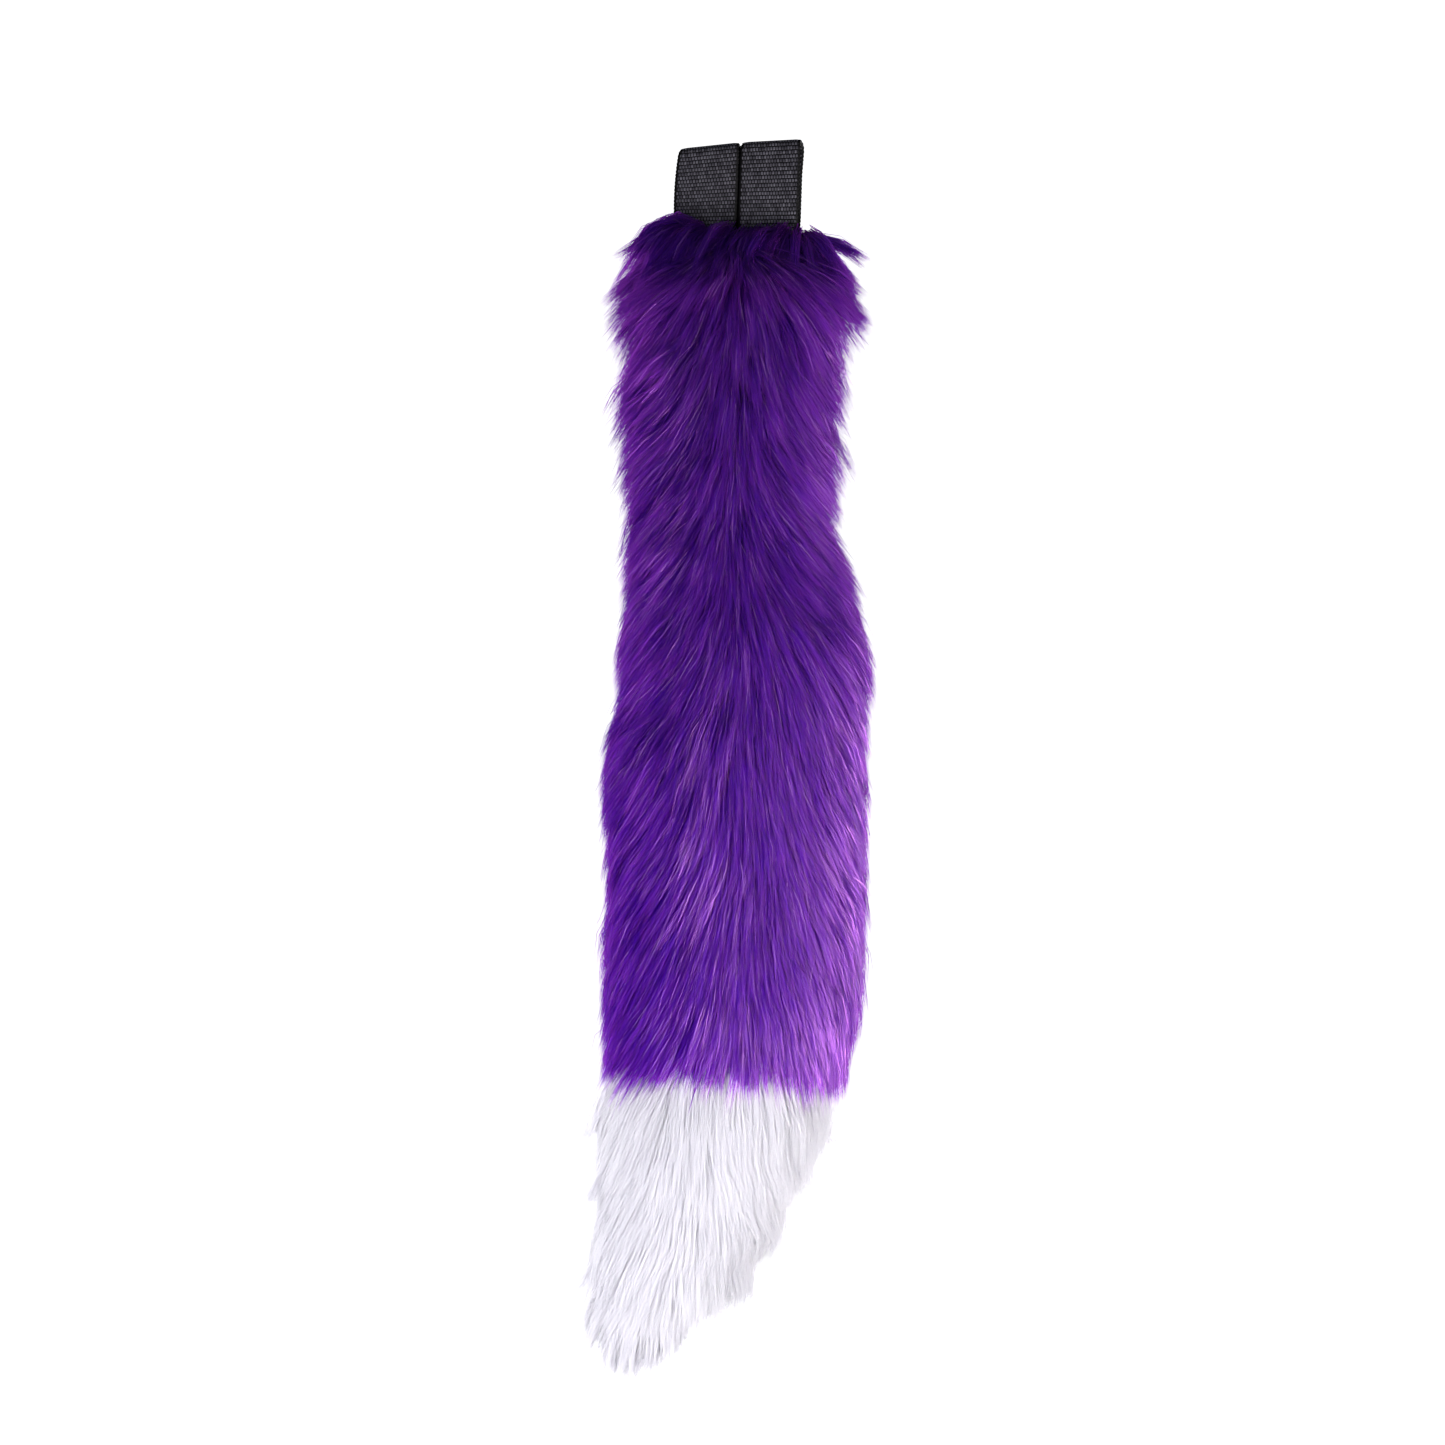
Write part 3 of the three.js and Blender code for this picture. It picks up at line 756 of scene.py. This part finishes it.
def crown_rows(rng, side):
    """The fringe on one side of the webbing: rows for slim locks at uneven distances, of uneven lengths."""
    across = rng.uniform(CROWN[0, 0], CROWN[-1, 0], CROWN_LOCKS)
    down, tip, forwards, tip_down, arch = (np.interp(across, CROWN[:, 0], column) for column in CROWN.T[1:])
    down, tip, forwards, tip_down, arch = (
        middle + rng.normal(0, uneven, CROWN_LOCKS)
        for middle, uneven in zip((down, tip, -side * forwards, tip_down, arch), CROWN_UNEVEN, strict=True)
    )
    same = [np.full(CROWN_LOCKS, value) for value in (CROWN_THICKNESS, CROWN_ENDS, CROWN_LOCK_HAIRS)]
    start = np.full(CROWN_LOCKS, side * CROWN_ROOT)
    return np.stack([across, start, down, tip, forwards, tip_down, arch, *same], axis=1)


def tuft_hairs(rng, table, rise):
    """Hairs of free locks, each bent like a bow from its root to one of the lock's split ends. Rise is how
    far the hairs face upwards."""
    paths, outs = [], []
    for row in table:
        root, tip = np.array(row[0:3]) * MM, np.array(row[3:6]) * MM
        root[2], tip[2] = -root[2], -tip[2]
        arch, thick, ends, hairs = row[6] * MM, row[7] * MM, int(row[8]), int(row[9])
        middle = (root + tip) / 2 + np.array([0, 0, arch])
        root_stray, bend_stray, end_stray, tip_stray = TUFT_STRAY
        roots = root + rng.normal(0, root_stray, (hairs, 3)) * thick
        bends = middle + rng.normal(0, bend_stray, (hairs, 3)) * thick + (roots - root) * 0.4
        split = rng.normal(0, end_stray, (ends, 3)) * thick
        tips = tip + split[rng.integers(0, ends, hairs)] + rng.normal(0, tip_stray, (hairs, 3)) * thick
        share = JOINTS[None, :, None]
        paths.append(roots[:, None] * (1 - share) ** 2 + bends[:, None] * 2 * share * (1 - share)
                     + tips[:, None] * share ** 2)
        lift = np.array([np.clip((tip[0] - root[0]) / (20 * MM), -1, 1) * 0.4, np.sign(root[1]) * 0.7, rise])
        outs.append(np.broadcast_to(lift / np.linalg.norm(lift), (hairs, len(JOINTS), 3)))
    paths, outs = np.concatenate(paths), np.concatenate(outs)
    return shortened(paths, 1 - MOST_TUFT_CUT * rng.uniform(0, 1, len(paths)) ** CUT_POWER), outs


stretch_ends = TOP_HAIR + PURPLE_CLOTH * STRETCH_SHARES
stretch_ends[-1] -= HEM_MARGIN
for index, stretch in enumerate(PURPLE_STRETCHES):
    draws = np.random.default_rng(PURPLE_SEED + index)
    start, end = stretch_ends[index] + ROOT_MARGIN, stretch_ends[index + 1]
    at_top = stretch == "top"
    downs, turns = scatter_roots(draws, PURPLE_HAIRS - (TOP_TUFT_HAIRS if at_top else 0), start, end)
    levels = SHAGGY_LOCKS if at_top else SMOOTH_LOCKS
    hairs, ways, shades = comb(draws, downs, turns, levels, start, end, hem=stretch == "lower")
    if at_top:
        tufts = [*TOP_TUFTS, *crown_rows(draws, -1), *crown_rows(draws, 1)]
        tuft_paths, tuft_ways = tuft_hairs(draws, tufts, TOP_TUFT_RISE)
        hairs = np.concatenate([hairs, keep_off_webbing(tuft_paths)])
        ways = np.concatenate([ways, tuft_ways])
        shades = np.concatenate([shades, draws.normal(*TUFT_SHADE_SPREAD, len(tuft_paths))])
    piece = hair_mesh("purple_pile_" + stretch, draws, hairs, ways, shades, PURPLE_EVENNESS)
    piece.data.materials.append(purple_acrylic)
    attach(piece, "root")
    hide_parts("fur_body")

# The white pile tip: the same acrylic hair in white, sewn on end to end with the purple, so its hair starts
# under the purple hair that hangs over the seam and runs on past the cloth into the soft point.
white_acrylic = acrylic_pile(
    "white_acrylic_pile",
    shades=((0.0, "#e6e5ea"), (0.4, "#ebeaee"), (0.7, "#f0eff2"), (1.0, "#f6f5f8")),
    painted_root_shade="#ebeaee", painted_tip_light="#f1f0f4", through_shade="#eeedf1", through=0.5,
    gloss_shade="#ffffff", gloss=0.2, refraction=1.5, roughness=0.6,
)
WHITE_SEED = 31
WHITE_HAIRS = 32500
WHITE_EVENNESS = 0.75
WHITE_START = SEAM_AT + 1 * MM
WHITE_END = CLOTH_END - ROOT_MARGIN
TIP_TUFT_RISE = -0.1
WHITE_LOCKS = ((15 * MM, 0.2, 0.3), (6 * MM, 0.4, 0.3), (2 * MM, 0.2, 0.15))
# The locks in which the tip ends, in the same columns as the tufts at the top
TIP_TUFTS = (
    (-50, -8, 387, -66, -3, 419, 0, 4.0, 4, 300),
    (-52, -8, 416, -65, -3, 447, 0, 3.0, 3, 150),
    (-50, -8, 446, -69, -3, 485, 0, 3.2, 4, 260),
    (-50, -8, 458, -68, -3, 492, 0, 3.0, 3, 170),
    (-50, -8, 468, -67, -4, 511, 0, 3.0, 3, 260),
    (-46, -9, 472, -57, -5, 516, 0, 3.5, 3, 220),
    (-42, -9, 475, -49, -6, 518, 0, 3.5, 3, 240),
    (-35, -9, 472, -37, -5, 514, 0, 3.5, 3, 220),
    (-30, -9, 466, -28, -4, 510, 0, 3.5, 3, 220),
    (-24, -9, 460, -18, -4, 503, 0, 3.5, 3, 210),
    (-16, -9, 454, -9, -3, 496, 0, 3.5, 3, 210),
    (-6, -10, 436, 1, -3, 470, 0, 3.5, 3, 200),
    (3, -10, 418, 14, -3, 453, 0, 3.5, 3, 200),
    (12, -10, 402, 27, -3, 438, 0, 3.5, 4, 200),
    (22, -9, 392, 38, -3, 421, 0, 4.0, 4, 220),
)
# The same between those in front and those behind
MIDDLE_TUFTS = (
    (-50, 0, 470, -65, 0, 500, 0, 7.0, 4, 130),
    (-43, 0, 478, -54, 0, 514, 0, 7.0, 4, 140),
    (-32, 0, 476, -38, 0, 509, 0, 7.0, 4, 140),
    (-20, 0, 466, -20, 0, 495, 0, 7.0, 4, 130),
    (-6, 0, 450, -2, 0, 478, 0, 7.0, 4, 130),
)
draws = np.random.default_rng(WHITE_SEED)
downs, turns = scatter_roots(draws, WHITE_HAIRS, WHITE_START, WHITE_END)
hairs, ways, shades = comb(draws, downs, turns, WHITE_LOCKS, WHITE_START, WHITE_END)
behind = [(row[0], -row[1], row[2], row[3], -row[4], *row[5:]) for row in TIP_TUFTS]
tuft_paths, tuft_ways = tuft_hairs(draws, [*TIP_TUFTS, *behind, *MIDDLE_TUFTS], TIP_TUFT_RISE)
hairs = np.concatenate([hairs, tuft_paths])
ways = np.concatenate([ways, tuft_ways])
shades = np.concatenate([shades, draws.normal(*TUFT_SHADE_SPREAD, len(tuft_paths))])
white_pile = hair_mesh("white_pile_tip", draws, hairs, ways, shades, WHITE_EVENNESS)
white_pile.data.materials.append(white_acrylic)
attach(white_pile, "root")
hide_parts("fur_tip")

# The studio: a wide sweep of paper that curves up all round and shows as plain white. Two broad lights stand
# behind the tail and narrower ones in front, of which the strongest stands low on the right.
SWEEP_DEPTH = 0.75
SWEEP_RADIUS = 4.0
SWEEP_TOP = 3.0
SWEEP_STEPS = 64
sweep = bmesh.new()
rim = [sweep.verts.new((x, 0, z)) for x, z in (
    (0.0, -SWEEP_DEPTH), (SWEEP_RADIUS * 0.7, -SWEEP_DEPTH), (SWEEP_RADIUS * 0.92, -SWEEP_DEPTH + 0.35),
    (SWEEP_RADIUS, 0.4), (SWEEP_RADIUS, SWEEP_TOP),
)]
edges = [sweep.edges.new(pair) for pair in zip(rim, rim[1:])]
bmesh.ops.spin(
    sweep, geom=rim + edges, cent=(0, 0, 0), axis=(0, 0, 1), angle=math.tau, steps=SWEEP_STEPS,
    use_merge=True,
)
bmesh.ops.remove_doubles(sweep, verts=sweep.verts, dist=1 * MM)
bmesh.ops.recalc_face_normals(sweep, faces=sweep.faces)
sweep_mesh = bpy.data.meshes.new("white_sweep")
sweep.to_mesh(sweep_mesh)
sweep.free()
sweep_mesh.shade_smooth()
white_sweep = bpy.data.objects.new("white_sweep", sweep_mesh)
bpy.context.collection.objects.link(white_sweep)
paper, paper_shader = new_material("white_background_paper")
paper_shader.inputs["Base Color"].default_value = (0.9, 0.9, 0.9, 1)
paper_shader.inputs["Roughness"].default_value = 0.9
paper_shader.inputs["Emission Color"].default_value = (1, 1, 1, 1)
paper_shader.inputs["Emission Strength"].default_value = 0.9
sweep_mesh.materials.append(paper)
white_sweep.visible_diffuse = False
white_sweep.visible_glossy = False
white_sweep.visible_transmission = False
white_sweep.visible_shadow = False


def soft_light(name, place, aim, size, power, colour="#ffffff", spread=180):
    """A round light at a place, turned to the point that it aims at."""
    light = bpy.data.lights.new(name, "AREA")
    light.shape = "DISK"
    light.size = size
    light.energy = power
    light.color = linear(colour)[:3]
    light.spread = math.radians(spread)
    lamp = bpy.data.objects.new(name, light)
    lamp.matrix_world = Matrix.Translation(place) @ (
        Vector(aim) - Vector(place)
    ).to_track_quat("-Z", "Y").to_matrix().to_4x4()
    bpy.context.collection.objects.link(lamp)
    return lamp


soft_light("key_low_right", (0.66, -0.54, -0.74), (0, 0, -0.29), 0.4, 0.9, "#fffafa", 46)
sheen = soft_light("sheen_right", (0.68, -0.76, -0.6), (0, 0, -0.32), 0.4, 1.35, spread=50)
sheen.visible_diffuse = False
fill = soft_light("fill_low_left", (-0.7, -1.1, -0.75), (0, 0, -0.50), 0.4, 1.5, "#fcfbff", 40)
fill.visible_glossy = False
soft_light("back_right", (0.9, 0.9, -0.4), (0, 0, -0.3), 1.2, 19)
back_left = soft_light("back_left", (-0.9, 0.9, -0.3), (0, 0, -0.3), 1.2, 27)
back_left.visible_glossy = False
world = bpy.data.worlds.new("studio")
world.use_nodes = True
world.node_tree.nodes["Background"].inputs["Color"].default_value = (0.92, 0.94, 1.0, 1)
world.node_tree.nodes["Background"].inputs["Strength"].default_value = 0.28
bpy.context.scene.world = world
world.cycles_visibility.glossy = False
bpy.context.scene.view_settings.view_transform = "Standard"
